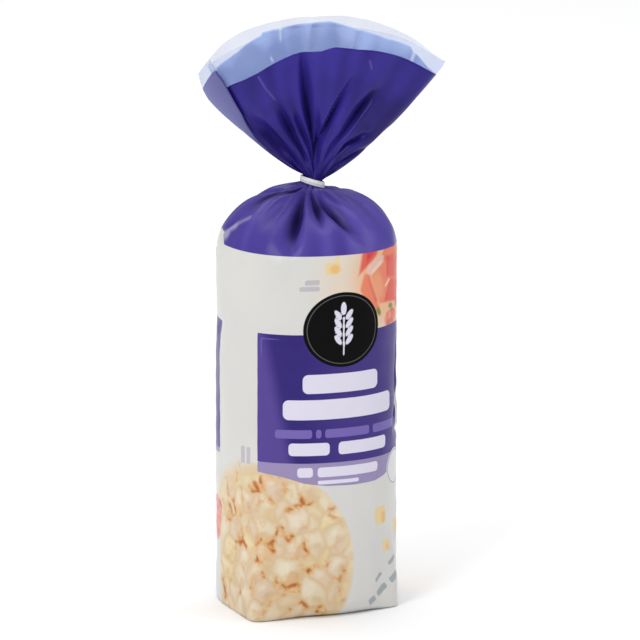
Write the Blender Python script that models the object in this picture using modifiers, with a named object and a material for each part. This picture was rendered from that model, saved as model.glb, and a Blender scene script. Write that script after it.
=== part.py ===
"""A tall film bag of puffed rice cakes, shut at its neck with a twist tie.

The bag is one piece of film round a stack of round cakes. It stands on a folded base
whose corners stick out, rises as a near-round wall to the shoulder, closes over the
stack in a gathered dome, passes through the tie, and fans out above it in an open frill.
Nothing of the inside shows below the tie, so the bag is solid there, and above the tie
it is a thin open wall.

Units are metres. +Z is up, the front of the pack faces -Y, and the origin is the centre
of the base. Angles round the bag, called turns here, start at the front and grow
towards +X.
"""

import math

import bmesh
import bpy
import numpy as np
from mathutils import Matrix

# Sizes of the wall. The half width is that of a squared circle along X and Y.
WALL_HALF_WIDTH = 0.0482
WALL_SQUARENESS = 2.25
SHOULDER_Z = 0.1942

# The rounding of the base's edge: sharp at the corners and sides, and softer along the
# front and the back, where the film is drawn under the lowest cake. It grows between two
# turns, given by their cosines, and its quarter circle is divided at the shares listed.
BASE_ROUNDING_SIDE = 0.0010
BASE_ROUNDING_FRONT = 0.0075
BASE_ROUNDING_FACING = (0.70, 0.96)
BASE_ROUNDING_STEPS = (0.0, 0.3, 0.62, 1.0)

# The four corners of the folded base: turn in degrees, and reach from the axis. Their
# tips are slightly rounded, and they fade out up the wall.
BASE_CORNERS = ((-47.0, 0.0625), (47.0, 0.0540), (133.0, 0.0570), (-133.0, 0.0535))
BASE_CORNER_TIP = 2.5
CORNER_FADE_Z = 0.085
CORNER_FADE_POWER = 1.6

# The dome over the stack: a fuller shoulder on one side than on the other.
DOME_RISE = 0.0357
DOME_FULLNESS = 1.05
DOME_LEAN = 0.08
DOME_FULL_SIDE = 70.0

# The neck that the tie holds, and how much it slants across the front.
NECK_RADIUS = 0.0056
NECK_CENTRE = (0.0033, -0.0012)
NECK_LENGTH = 0.0046
NECK_SLANT = -0.32
NECK_PLEATS = 13
NECK_PLEAT_DEPTH = 0.00055

# The open frill above the tie. Its cut edge is a squared ellipse seen from above, and it
# is this far along the film from the neck, with more at the ends and to one side. One
# end swells below its edge. The hollow starts a share of the way up, in a smaller foot.
FRILL_REACH = 0.0874
FRILL_END_REACH = 0.0024
FRILL_SIDE_REACH = 0.0044
FRILL_HALF_LENGTH = 0.0665
FRILL_HALF_DEPTH = 0.0172
FRILL_NARROWER = 0.12
FRILL_SQUARENESS = 2.6
FRILL_CENTRE = 0.0037
FRILL_TURN = -12.0
FRILL_GOBLET = 0.30
FRILL_BULGE = 0.0070
FRILL_BULGE_TURN = -85.0
FRILL_BULGE_WIDTH = 45.0
HOLLOW_FROM = 0.14
HOLLOW_FOOT_SHARE = 0.45
HOLLOW_FOOT_DROP = 0.0030
FILM_WALL = 0.0008

# The folds of the dome, as seen going out from the neck: turn at the neck and at the
# fold's end, half width in degrees, depth, and how far towards the shoulder it goes.
DOME_FOLDS = (
    (-24.0, -29.0, 8.5, 0.0050, 1.05),
    (-7.0, -8.0, 6.0, 0.0026, 0.66),
    (3.0, 18.0, 7.0, 0.0036, 0.86),
    (-46.0, -52.0, 7.0, 0.0016, 0.85),
    (-74.0, -88.0, 7.5, 0.0028, 0.70),
    (44.0, 46.0, 9.0, 0.0018, 0.75),
    (98.0, 92.0, 42.0, 0.0036, 0.44),
    (110.0, 118.0, 8.0, 0.0024, 0.85),
    (134.0, 142.0, 7.5, 0.0034, 0.95),
    (160.0, 164.0, 7.0, 0.0028, 0.78),
    (-168.0, -171.0, 7.5, 0.0038, 1.00),
    (-142.0, -147.0, 7.0, 0.0028, 0.80),
    (-112.0, -121.0, 8.0, 0.0032, 0.90),
)

# The folds of the frill, as seen going up from the neck: turn at the neck and at the
# fold's end, half width in degrees, depth, and how far towards the cut edge it goes.
FRILL_FOLDS = (
    (-8.0, -11.0, 6.5, 0.0048, 1.00),
    (-36.0, -43.0, 7.0, 0.0034, 0.68),
    (-22.0, -27.0, 6.5, 0.0028, 0.60),
    (24.0, 32.0, 6.5, 0.0036, 0.86),
    (44.0, 56.0, 8.0, 0.0042, 0.74),
    (70.0, 79.0, 7.0, 0.0026, 0.50),
    (-62.0, -70.0, 7.0, 0.0024, 0.80),
    (116.0, 108.0, 8.5, 0.0032, 0.90),
    (146.0, 142.0, 7.0, 0.0036, 0.76),
    (176.0, 176.0, 8.0, 0.0034, 0.95),
    (-152.0, -147.0, 7.0, 0.0036, 0.70),
    (-120.0, -112.0, 8.5, 0.0030, 0.88),
)
FOLD_EDGE_POWER = 1.6
FOLD_FADE_FROM = 0.4

# The slow waves of the cut edge: how many round the mouth, and how deep.
RIM_WAVES = ((5, 0.0018, 0.6), (9, 0.0008, 2.1))

# How finely the film is divided: points round it, and rings along each stretch.
AROUND = 88
WALL_RINGS = 8
DOME_RINGS = 10
NECK_RINGS = 3
FRILL_RINGS = 11

# The powers that draw the rings together: near the base, the shoulder and the neck.
WALL_RING_POWER = 1.25
DOME_RING_POWER = 0.9
FRILL_RING_POWER = 1.15

# The twist tie: a flat strip round the neck, whose two ends are twisted together behind
# it, lie back over the dome, and part again.
TIE_WIDTH = 0.0034
TIE_THICKNESS = 0.0009
TIE_GAP = 0.0004
TIE_SIDES = 48
TAIL_TURN = 165.0
TAIL_DROOP = 7.0
TAIL_BITE = 0.0006
TWIST_LENGTH = 0.0110
TWIST_WIDTH = 0.0030
TWIST_THICKNESS = 0.0019
TWIST_DEGREES = 540.0
TWIST_RINGS = 24
END_LENGTH = 0.0120
END_SPREAD = 17.0
END_THICKNESS = 0.0010
END_OVERLAP = 0.0022


def clear_scene():
    """Removes every object, as this file is run in a fresh scene or from the editor."""
    for obj in list(bpy.data.objects):
        bpy.data.objects.remove(obj, do_unlink=True)


def collection_named(name):
    collection = bpy.data.collections.new(name)
    bpy.context.scene.collection.children.link(collection)
    return collection


def material_named(name, colour, roughness):
    material = bpy.data.materials.new(name)
    material.use_nodes = True
    shader = material.node_tree.nodes["Principled BSDF"]
    shader.inputs["Base Color"].default_value = (*colour, 1.0)
    shader.inputs["Roughness"].default_value = roughness
    shader.inputs["Metallic"].default_value = 0.0
    return material


def turn_gap(turns, centre):
    """The signed gap from a turn to each of several turns, from -180 to 180 degrees."""
    return (turns - centre + 180.0) % 360.0 - 180.0


def smooth_step(x):
    """A rise from 0 to 1 with level ends, for x from 0 to 1."""
    x = np.clip(x, 0.0, 1.0)
    return x * x * (3.0 - 2.0 * x)


def wall_radius(turns, z):
    """How far the wall is from the axis: a squared circle, plus the base's corners.

    A corner is the point where two straight tangents of the circle meet, so the film
    runs flat from the corner to where it touches the round stack.
    """
    angle = np.radians(turns)
    squared = np.abs(np.sin(angle)) ** WALL_SQUARENESS + np.abs(np.cos(angle)) ** WALL_SQUARENESS
    radius = WALL_HALF_WIDTH * squared ** (-1.0 / WALL_SQUARENESS)
    fade = (1.0 - smooth_step(z / CORNER_FADE_Z)) ** CORNER_FADE_POWER
    reach = np.ones_like(radius)
    for corner_turn, corner_reach in BASE_CORNERS:
        at_corner = WALL_HALF_WIDTH + (corner_reach - WALL_HALF_WIDTH) * fade
        tangent = np.degrees(np.arccos(WALL_HALF_WIDTH / at_corner))
        away = np.sqrt(turn_gap(turns, corner_turn) ** 2 + BASE_CORNER_TIP**2) - BASE_CORNER_TIP
        reach = np.maximum(reach, 1.0 / np.cos(np.radians(np.maximum(tangent - away, 0.0))))
    return np.maximum(radius, WALL_HALF_WIDTH * reach)


def ring_at(turns, radius, z, centre=(0.0, 0.0)):
    """A ring of points, one for each turn."""
    angle = np.radians(turns)
    x = centre[0] + radius * np.sin(angle)
    y = centre[1] - radius * np.cos(angle)
    return np.stack([x, y, np.broadcast_to(z, x.shape)], axis=1)


def base_rounding(turns):
    """The radius of the base's rounded edge at each turn."""
    facing = np.abs(np.cos(np.radians(turns)))
    start, full = BASE_ROUNDING_FACING
    share = smooth_step((facing - start) / (full - start))
    return BASE_ROUNDING_SIDE + (BASE_ROUNDING_FRONT - BASE_ROUNDING_SIDE) * share


def base_and_wall(turns):
    """Rings from the flat base, round its rounded edge and up to the shoulder."""
    rounding = base_rounding(turns)
    rings = []
    for quarter in BASE_ROUNDING_STEPS:
        lift = rounding * (1.0 - math.cos(quarter * math.pi / 2))
        inset = rounding * (1.0 - math.sin(quarter * math.pi / 2))
        rings.append(ring_at(turns, wall_radius(turns, lift) - inset, lift))
    for step in range(1, WALL_RINGS + 1):
        z = rounding + (SHOULDER_Z - rounding) * (step / WALL_RINGS) ** WALL_RING_POWER
        rings.append(ring_at(turns, wall_radius(turns, z), z))
    return rings


def fold_depth(turns, folds, out):
    """How far the film is drawn in at a share of the way out from the neck.

    Each fold is a valley along a line that goes from its neck turn to its end turn. It
    deepens evenly from the neck to about its middle, and fades out where it ends.
    """
    depth = np.zeros_like(turns)
    for neck_turn, end_turn, half_width, most, reach in folds:
        along = out / reach
        line = neck_turn + (end_turn - neck_turn) * smooth_step(along)
        fade = smooth_step((along - FOLD_FADE_FROM) / (1.0 - FOLD_FADE_FROM))
        strength = 2.0 * along * (1.0 - fade)
        across = np.abs(turn_gap(turns, line)) / half_width
        depth += most * strength * np.exp(-(across**FOLD_EDGE_POWER))
    return depth


def dome(turns):
    """Rings from the shoulder to the neck, a half ellipse with folds drawn into it."""
    shoulder = wall_radius(turns, SHOULDER_Z)
    rings = []
    for step in range(1, DOME_RINGS + 1):
        angle = math.pi / 2 * (step / DOME_RINGS) ** DOME_RING_POWER
        fullness = DOME_FULLNESS - DOME_LEAN * np.cos(np.radians(turns - DOME_FULL_SIDE))
        share = max(math.cos(angle), 0.0) ** fullness
        out = 1.0 - angle / (math.pi / 2)
        radius = NECK_RADIUS + (shoulder - NECK_RADIUS) * share
        z = SHOULDER_Z + DOME_RISE * math.sin(angle)
        depth = fold_depth(turns, DOME_FOLDS, out)
        slope = math.atan2(math.sin(angle) / DOME_RISE, math.cos(angle) / WALL_HALF_WIDTH)
        centre = [c * (1.0 - share) for c in NECK_CENTRE]
        slant = NECK_SLANT * NECK_RADIUS * np.sin(np.radians(turns)) * (1.0 - out) ** 3
        z = z + slant - depth * math.sin(slope)
        rings.append(ring_at(turns, radius - depth * math.cos(slope), z, centre))
    return rings


def neck_ring(turns, z):
    """The gathered neck: a round bundle with small pleats, on a slant."""
    pleats = NECK_PLEAT_DEPTH * (np.cos(np.radians(turns * NECK_PLEATS)) - 1.0)
    slant = NECK_SLANT * NECK_RADIUS * np.sin(np.radians(turns))
    return ring_at(turns, NECK_RADIUS + pleats, z + slant, NECK_CENTRE)


def frill_edge(turns):
    """The cut edge of the frill from the neck's top, at even steps along the film.

    Seen from above it is a squared ellipse. Equal turns are equal lengths of film,
    counted from the middle of the front. Each point's height is what the length of the
    film leaves after its spread. The film is longer at the two ends, and most at +X.
    """
    fine = np.linspace(-math.pi, math.pi, 1441)
    power = 2.0 / FRILL_SQUARENESS
    along = FRILL_HALF_LENGTH * np.sign(np.sin(fine)) * np.abs(np.sin(fine)) ** power
    depth = FRILL_HALF_DEPTH * (1.0 + FRILL_NARROWER * along / FRILL_HALF_LENGTH)
    across = -depth * np.sign(np.cos(fine)) * np.abs(np.cos(fine)) ** power
    steps = np.hypot(np.diff(along), np.diff(across))
    length = np.concatenate([[0.0], np.cumsum(steps)])
    wanted = (turn_gap(turns, 0.0) / 360.0 + 0.5) * length[-1]
    along = np.interp(wanted, length, along)
    across = np.interp(wanted, length, across)
    side = along / FRILL_HALF_LENGTH
    reach = FRILL_REACH + FRILL_END_REACH * side**2 + FRILL_SIDE_REACH * side
    along += FRILL_CENTRE
    turned = math.radians(FRILL_TURN)
    x = along * math.cos(turned) - across * math.sin(turned)
    y = along * math.sin(turned) + across * math.cos(turned)
    return np.stack([x, y, np.sqrt(reach**2 - x**2 - y**2)], axis=1)


def frill_ring(turns, out):
    """One ring of the frill's film, a share of the way from the neck to the cut edge.

    The film runs from the bundle to the edge in lines that lie flatter at first, like a
    goblet, with the folds and the edge's waves drawn in and out.
    """
    bundle = neck_ring(turns, SHOULDER_Z + DOME_RISE + NECK_LENGTH)
    edge = frill_edge(turns) + np.array([*NECK_CENTRE, SHOULDER_Z + DOME_RISE + NECK_LENGTH])
    sideways = out * (1.0 + FRILL_GOBLET * (1.0 - out))
    upward = out * (1.0 - FRILL_GOBLET * (1.0 - out))
    flat = bundle[:, :2] + (edge - bundle)[:, :2] * sideways
    z = bundle[:, 2] + (edge - bundle)[:, 2] * upward
    tangent = np.roll(flat, -1, axis=0) - np.roll(flat, 1, axis=0)
    outward = np.stack([tangent[:, 1], -tangent[:, 0]], axis=1)
    outward /= np.linalg.norm(outward, axis=1)[:, None]
    push = -fold_depth(turns, FRILL_FOLDS, out)
    swell = np.clip(1.0 - (turn_gap(turns, FRILL_BULGE_TURN) / FRILL_BULGE_WIDTH) ** 2, 0.0, 1.0)
    push += FRILL_BULGE * 4.0 * out**3 * (1.0 - out) * swell
    for count, depth, phase in RIM_WAVES:
        push += depth * out**2 * np.sin(np.radians(turns * count) + phase)
    return np.column_stack([flat + outward * push[:, None], z]), outward


def frill(turns):
    """The frill's outer rings going up, then its inner rings coming down to its foot."""
    outer, inner = [], []
    for step in range(1, FRILL_RINGS + 1):
        out = (step / FRILL_RINGS) ** FRILL_RING_POWER
        ring, outward = frill_ring(turns, out)
        outer.append(ring)
        if out >= HOLLOW_FROM:
            inner.append(ring - np.column_stack([outward * FILM_WALL, np.zeros(len(turns))]))
    middle = inner[0].mean(axis=0)
    foot = middle + (inner[0] - middle) * HOLLOW_FOOT_SHARE - np.array([0.0, 0.0, HOLLOW_FOOT_DROP])
    return outer + inner[::-1] + [foot]


def film_turns():
    """The turns that every ring is divided at, with a point on each base corner."""
    corners = sorted(turn for turn, _ in BASE_CORNERS)
    ends = corners + [corners[0] + 360.0]
    return np.interp(np.arange(AROUND) * 4.0 / AROUND, range(5), ends)


def bag_rings():
    turns = film_turns()
    neck_foot = SHOULDER_Z + DOME_RISE
    neck = [
        neck_ring(turns, neck_foot + NECK_LENGTH * step / NECK_RINGS)
        for step in range(1, NECK_RINGS + 1)
    ]
    return np.array(base_and_wall(turns) + dome(turns) + neck + frill(turns))


def lofted_mesh(name, rings):
    """A closed mesh of rings joined in order, with a flat cap on the first and the last."""
    count, around = rings.shape[:2]
    index = np.arange(count * around).reshape(count, around)
    beside = np.roll(index, -1, axis=1)
    quads = np.stack([index[:-1], beside[:-1], beside[1:], index[1:]], axis=-1)
    faces = quads.reshape(-1, 4).tolist()
    faces.append(index[0][::-1].tolist())
    faces.append(index[-1].tolist())
    mesh = bpy.data.meshes.new(name)
    mesh.from_pydata(rings.reshape(-1, 3).tolist(), [], faces)
    mesh.shade_smooth()
    mesh.set_sharp_from_angle(angle=math.radians(50))
    return mesh


def make_bag(collection, material):
    bag = bpy.data.objects.new("bag", lofted_mesh("bag", bag_rings()))
    bag.data.materials.append(material)
    collection.objects.link(bag)
    return bag




def tie_loop():
    """The strip round the neck: a flat rectangle turned round the neck's centre."""
    inner = NECK_RADIUS + TIE_GAP
    outer = inner + TIE_THICKNESS
    half = TIE_WIDTH / 2
    corners = [(outer, half), (outer, -half), (inner, -half), (inner, half)]
    mesh = bpy.data.meshes.new("tie_loop")
    edges = [(i, (i + 1) % len(corners)) for i in range(len(corners))]
    mesh.from_pydata([(x, 0.0, z) for x, z in corners], edges, [])
    loop = bpy.data.objects.new("tie_loop", mesh)
    bpy.context.scene.collection.objects.link(loop)
    screw = loop.modifiers.new("round the neck", "SCREW")
    screw.steps = screw.render_steps = TIE_SIDES
    screw.use_merge_vertices = True
    screw.merge_threshold = 0.0001
    return loop


def tie_bar(name, length, width, thickness, twist):
    """A flat bar from the origin along +Y, twisted about its own length."""
    mesh = bpy.data.meshes.new(name)
    shape = bmesh.new()
    bmesh.ops.create_cube(shape, size=1.0)
    long_edges = [e for e in shape.edges if abs(e.verts[0].co.y - e.verts[1].co.y) > 0.5]
    bmesh.ops.subdivide_edges(shape, edges=long_edges, cuts=TWIST_RINGS if twist else 1)
    bmesh.ops.scale(shape, verts=shape.verts, vec=(thickness, length, width))
    bmesh.ops.translate(shape, verts=shape.verts, vec=(0.0, length / 2, 0.0))
    shape.to_mesh(mesh)
    shape.free()
    bar = bpy.data.objects.new(name, mesh)
    bpy.context.scene.collection.objects.link(bar)
    if twist:
        turned = bar.modifiers.new("twist", "SIMPLE_DEFORM")
        turned.deform_method = "TWIST"
        turned.deform_axis = "Y"
        turned.angle = math.radians(twist)
    return bar


def make_tie(collection, material):
    """The twist tie, as one solid, set round the neck and slanted with it."""
    loop = tie_loop()
    start = NECK_RADIUS + TIE_GAP + TIE_THICKNESS - TAIL_BITE
    heading = Matrix.Rotation(math.radians(TAIL_TURN - 180.0), 4, "Z")
    droop = Matrix.Rotation(math.radians(-TAIL_DROOP), 4, "X")
    tail = heading @ Matrix.Translation((0.0, start, 0.0)) @ droop
    twisted = tie_bar("tie_twist", TWIST_LENGTH, TWIST_WIDTH, TWIST_THICKNESS, TWIST_DEGREES)
    twisted.matrix_world = tail
    pieces = [twisted]
    for side in (-1.0, 1.0):
        end = tie_bar("tie_end", END_LENGTH, TIE_WIDTH, END_THICKNESS, 0.0)
        spread = Matrix.Rotation(math.radians(side * END_SPREAD), 4, "Z")
        place = Matrix.Translation((0.0, TWIST_LENGTH - END_OVERLAP, 0.0))
        end.matrix_world = tail @ place @ spread
        pieces.append(end)
    joined = collection_named("tie_pieces")
    for piece in pieces:
        joined.objects.link(piece)
        bpy.context.scene.collection.objects.unlink(piece)
    union = loop.modifiers.new("twisted ends", "BOOLEAN")
    union.operation = "UNION"
    union.operand_type = "COLLECTION"
    union.collection = joined
    bpy.context.view_layer.update()
    graph = bpy.context.evaluated_depsgraph_get()
    mesh = bpy.data.meshes.new_from_object(loop.evaluated_get(graph))
    mesh.name = "tie"
    slant = Matrix.Identity(4)
    slant[2][0] = NECK_SLANT
    mesh.transform(slant)
    for piece in [loop, *pieces]:
        bpy.data.objects.remove(piece, do_unlink=True)
    bpy.data.collections.remove(joined)
    tie = bpy.data.objects.new("tie", mesh)
    tie.location = (*NECK_CENTRE, SHOULDER_Z + DOME_RISE + NECK_LENGTH / 2)
    tie.data.materials.append(material)
    collection.objects.link(tie)
    return tie


def main():
    clear_scene()
    pack = collection_named("rice_cake_pack")
    film = material_named("film", (0.085, 0.060, 0.320), 0.32)
    strip = material_named("strip", (0.860, 0.860, 0.850), 0.45)
    make_bag(pack, film)
    make_tie(pack, strip)


main()
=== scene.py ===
"""The looks of a tall film bag of puffed rice cakes, shut at its neck with a twist tie.

The bag is one sheet of printed film. Every point of it has a turn round the axis of the
stack, in degrees from the front towards +X, and a place along the film: a height on the
wall, and a share of the way on the dome and in the frill. The print is drawn in those
two numbers, so it follows the film through its folds.
"""
import math

import bpy
import numpy as np
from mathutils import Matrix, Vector


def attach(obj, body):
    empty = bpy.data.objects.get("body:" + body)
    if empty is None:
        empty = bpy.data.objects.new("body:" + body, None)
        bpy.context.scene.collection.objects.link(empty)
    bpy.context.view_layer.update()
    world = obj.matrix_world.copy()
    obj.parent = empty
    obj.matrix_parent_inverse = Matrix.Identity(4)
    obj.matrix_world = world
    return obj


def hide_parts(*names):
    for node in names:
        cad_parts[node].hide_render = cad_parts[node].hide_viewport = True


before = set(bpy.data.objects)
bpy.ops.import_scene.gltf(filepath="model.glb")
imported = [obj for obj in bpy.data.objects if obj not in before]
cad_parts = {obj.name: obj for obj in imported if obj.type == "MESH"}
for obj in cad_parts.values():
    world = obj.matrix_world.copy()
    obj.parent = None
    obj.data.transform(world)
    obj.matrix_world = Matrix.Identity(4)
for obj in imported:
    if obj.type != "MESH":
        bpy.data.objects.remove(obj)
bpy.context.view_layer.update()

# Sizes that the scene shares with the CAD solids, in metres and degrees.
WALL_HALF_WIDTH = 0.0482
WALL_SQUARENESS = 2.25
SHOULDER_Z = 0.1942
BASE_ROUNDING_SIDE = 0.0010
BASE_ROUNDING_FRONT = 0.0075
BASE_ROUNDING_FACING = (0.70, 0.96)
BASE_CORNERS = ((-47, 0.0625), (47, 0.0540), (133, 0.0570), (-133, 0.0535))
BASE_CORNER_TIP = 2.5
CORNER_FADE_Z = 0.085
CORNER_FADE_POWER = 1.6
DOME_RISE = 0.0357
DOME_FULLNESS = 1.05
DOME_LEAN = 0.08
DOME_FULL_SIDE = 70
NECK_RADIUS = 0.0056
NECK_CENTRE = np.array([0.0033, -0.0012])
NECK_LENGTH = 0.0046
NECK_SLANT = -0.32
NECK_FOOT_Z = SHOULDER_Z + DOME_RISE
NECK_TOP_Z = NECK_FOOT_Z + NECK_LENGTH
FRILL_REACH = 0.0874
FRILL_END_REACH = 0.0024
FRILL_SIDE_REACH = 0.0041
FRILL_SHOULDER_REACH = 0.0013
FRILL_HALF_LENGTH = 0.0665
FRILL_HALF_DEPTH = 0.0172
FRILL_NARROWER = 0.12
FRILL_SQUARENESS = 2.6
FRILL_CENTRE = 0.0037
FRILL_TURN = -12
FRILL_GOBLET = 0.30
FRILL_BULGE = 0.0070
FRILL_BULGE_TURN = -85
FRILL_BULGE_WIDTH = 45
RIM_WAVES = ((5, 0.0018, 0.6), (9, 0.0008, 2.1))

# How finely the film is divided, how its rows are spaced, how thick it is, and where the
# frill is hollow.
AROUND = 360
BASE_ROWS = 10
EDGE_ROWS = 5
WALL_ROWS = 158
DOME_ROWS = 88
NECK_ROWS = 5
FRILL_AROUND = 480
FRILL_ROWS = 104
MARGIN_ROWS = 14
BASE_FROM = 0.06
WALL_ROW_POWER = 1.05
DOME_ROW_POWER = 0.95
FRILL_ROW_POWER = 1.12
INK_OVERLAP = 0.012
PRINTED_FILM = 0.00024
CLEAR_FILM = 0.00014
HOLLOW_FROM = 0.14

# The film's uneven waves, as ripples() takes them: seed, how many waves are added, their
# strength, the least and most of them round the bag, and how much they slant.
WALL_SLOW = (11, 9, 0.00022, (2, 7), 45)
WALL_FINE = (12, 14, 0.00007, (9, 26), 160)
DOME_PLEATS = (21, 10, 0.0007, (9, 23), 9)
DOME_FINE = (22, 16, 0.00010, (8, 30), 22)
DOME_SLOW = (23, 8, 0.00030, (3, 8), 7)
NECK_PLEATS = (31, 7, 0.00022, (9, 19), 0)
FRILL_PLEATS = (41, 12, 0.0011, (9, 26), 8)
FRILL_SLOW = (42, 10, 0.00035, (4, 12), 9)
FRILL_FINE = (43, 16, 0.00009, (14, 40), 30)
DOME_STREAKS = (51, 14, 0.22, (4, 24), 6)
FRILL_STREAKS = (52, 16, 0.07, (5, 26), 5)

# The twist tie: a strip whose two ends are wound on each other behind the neck.
TIE_WIDTH = 0.0034
TIE_THICKNESS = 0.0009
TIE_LOOP_RADIUS = NECK_RADIUS + 0.00085
TAIL_TURN = 165
TAIL_DROOP = 7
TAIL_START = NECK_RADIUS + 0.0011
TWIST_LENGTH = 0.0110
TWIST_RADIUS = 0.00055
TWISTS = 1.5
TAIL_END_LENGTH = 0.0095
TAIL_END_SPREAD = 17
TAIL_END_LIFT = 0.0006
TWIST_START_SPREAD = 0.0009
LOOP_OPENING = 0.0011

# The folds of the dome. Each has its line, as shares of the way out from the neck and the
# turns there, its half width in degrees at the neck and at its end, its depth, where it
# is deepest, how far it goes, and how much steeper its +turn side is than its other side.
DOME_FOLDS = (
    ((0, 0.25, 0.45, 0.7, 1), (-36, -30.5, -28.5, -29.5, -30), 5.6, 7, 0.0082, 0.44, 1.02, 0.70),
    ((0, 0.3, 0.6), (-25, -11.5, -7), 5.6, 5.6, 0.0062, 0.32, 0.74, 0.2),
    ((0, 0.25, 0.47, 0.62, 0.8), (-14, -4, 6, 13, 23), 5, 6.5, 0.0068, 0.44, 0.88, -0.3),
    ((0, 0.4, 0.8), (-50, -52, -56), 6, 7, 0.0020, 0.4, 0.85, 0),
    ((0, 0.1, 0.21, 0.37, 0.55), (-62, -70, -90, -114, -124), 8, 6, 0.0026, 0.25, 0.62, 0.3),
    ((0, 0.12, 0.3), (-50, -58, -70), 9, 7, 0.0022, 0.10, 0.32, 0),
    ((0, 0.5, 0.68, 0.85), (-70, -84, -92, -103), 3, 2.6, 0.0012, 0.7, 0.95, 0.4),
    ((0, 0.4, 0.75), (44, 47, 45), 8, 9, 0.0018, 0.4, 0.78, 0),
    ((0, 1), (-112, -112), 26, 26, -0.0017, 0.26, 0.66, 0),
    ((0, 1), (72, 72), 26, 26, -0.0011, 0.50, 0.98, 0),
    ((0, 0.5), (98, 92), 34, 34, 0.0015, 0.14, 0.36, 0),
    ((0, 0.5, 1), (28, 30, 33), 5, 6, 0.0012, 0.25, 0.5, 0),
    ((0, 0.5, 1), (76, 70, 66), 6, 6, 0.0016, 0.4, 0.8, 0.3),
    ((0, 0.5, 0.85), (110, 114, 118), 7, 7, 0.0028, 0.4, 0.88, -0.3),
    ((0, 0.5, 1), (134, 138, 142), 6.5, 8, 0.0044, 0.45, 1, 0.4),
    ((0, 0.5, 0.8), (160, 162, 164), 6, 6, 0.0032, 0.35, 0.8, 0),
    ((0, 0.5, 1), (-168, -170, -171), 7, 9, 0.0048, 0.42, 1.03, -0.4),
    ((0, 0.5, 0.8), (-142, -145, -147), 6, 7, 0.0030, 0.4, 0.84, 0),
    ((0, 0.5, 0.9), (-116, -126, -132), 6, 7, 0.0030, 0.4, 0.92, 0.3),
)

# The dome's one raised ridge: its turn, how much further on that is at the neck, and
# within which share of the way out.
RIDGE_TURN = -24
RIDGE_BEND = 9
RIDGE_BEND_SHARE = 0.12
RIDGE_WIDTH = 4
RIDGE_HEIGHT = 0.0012

# Where the dome has only painted shade, with no fold in its shape, in the same columns.
DOME_SHADES = (
    ((0, 0.1, 0.25, 0.35, 0.55), (-56, -60, -74, -82, -93), 8, 13, 0.0052, 0.32, 0.66, 0.2),
)

# The folds of the frill, in the same columns, going up from the neck to the cut edge.
FRILL_FOLDS = (
    ((0, 0.24, 0.39, 0.53, 0.66, 1), (-2, -6.5, -11, -14.5, -16, -17), 5.6, 4.2, 0.0100, 0.42, 1.12, -0.3),
    ((0, 0.32, 0.46, 0.6), (0, -2, -4, -6), 3, 3, 0.0042, 0.36, 0.66, 0),
    ((0, 0.19, 0.31, 0.45, 0.65), (-14, -27.5, -36, -39.5, -43), 5, 6, 0.0072, 0.40, 0.70, 0.4),
    ((0, 0.23, 0.36, 0.47, 0.6), (-9, -15.5, -22.5, -26.5, -29), 4, 4.6, 0.0060, 0.36, 0.63, -0.2),
    ((0, 0.28, 0.4, 0.54, 0.65, 0.8), (-14, -3, 5, 13, 19, 27), 4, 3.4, 0.0066, 0.44, 0.86, -0.4),
    ((0, 0.25, 0.4, 0.55, 0.7), (6, 20, 32.5, 39.5, 47), 4, 6, 0.0070, 0.54, 0.76, 0.5),
    ((0, 0.31, 0.36, 0.45), (22, 44, 54, 66), 5, 5, 0.0040, 0.34, 0.47, 0),
    ((0, 0.2, 0.34), (40, 62, 78), 5, 5, 0.0026, 0.24, 0.40, 0),
    ((0, 0.3, 0.6), (-40, -58, -70), 7, 8, 0.0036, 0.3, 0.74, 0.2),
    ((0, 0.4, 0.9), (116, 112, 108), 7, 7, 0.0040, 0.45, 0.92, 0.3),
    ((0, 0.4, 0.8), (146, 144, 141), 6, 6, 0.0052, 0.4, 0.80, -0.3),
    ((0, 0.5, 1), (176, 176, 176), 7, 6, 0.0058, 0.45, 1.05, 0.3),
    ((0, 0.4, 0.8), (-152, -150, -146), 6, 6, 0.0052, 0.4, 0.76, 0),
    ((0, 0.4, 0.9), (-120, -115, -111), 7, 7, 0.0036, 0.45, 0.90, -0.3),
    ((0, 0.4, 0.7), (90, 88, 84), 6, 6, 0.0026, 0.35, 0.55, 0),
    ((0.5, 0.8, 1), (-170, -174, -178), 2.6, 3, 0.0022, 0.9, 1.2, 0.6),
    ((0.5, 0.75, 1), (152, 151, 150), 4, 4, 0.0024, 0.9, 1.2, -0.5),
    ((0.6, 1), (-156, -156), 2, 2, 0.0012, 0.95, 1.3, 0),
    ((0.6, 1), (167, 165), 7, 7, 0.0016, 0.9, 1.15, 0.3),
    ((0.6, 1), (-128, -125), 4, 5, 0.0016, 0.92, 1.2, 0.4),
    ((0.1, 0.35, 0.6), (-46, -62, -66), 9, 8, 0.0020, 0.42, 0.66, 0.2),
)

# Where the frill has only painted shade, with no fold in its shape, in the same columns.
FRILL_SHADES = (
    ((0.36, 0.5, 0.62, 0.70), (30, 38, 43, 46.5), 1.5, 5, 0.0060, 0.66, 0.73, 0.3),
    ((0.3, 0.45, 0.6, 0.8), (-5, -11, -15.5, -16.5), 3.4, 2.4, 0.0040, 0.5, 1, 0),
)

# The overlapping pleat at the frill's left end: its crease's turn at shares of the way
# up, and how far the film is moved at turns from the crease, in millimetres to the side
# (along the front's width), upwards and forwards.
PLEAT_SHARES = (0.40, 0.60, 0.80, 1)
PLEAT_TURNS = (-82, -78, -78.5, -80)
PLEAT_GAPS = (-24, -10, 0, 5, 10, 22)
PLEAT_MOVES = (
    (0, 0, 0), (-0.9, 0.2, 0), (2.2, 5.6, 1.5), (-3, -3, -6.5), (-1.8, -1.2, -3), (0, 0, 0))
PLEAT_SIDEWAYS = np.array([0.94, -0.342])
PLEAT_FORWARDS = np.array([-0.342, -0.94])
PLEAT_FROM = 0.40
PLEAT_FULL = 0.86
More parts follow.
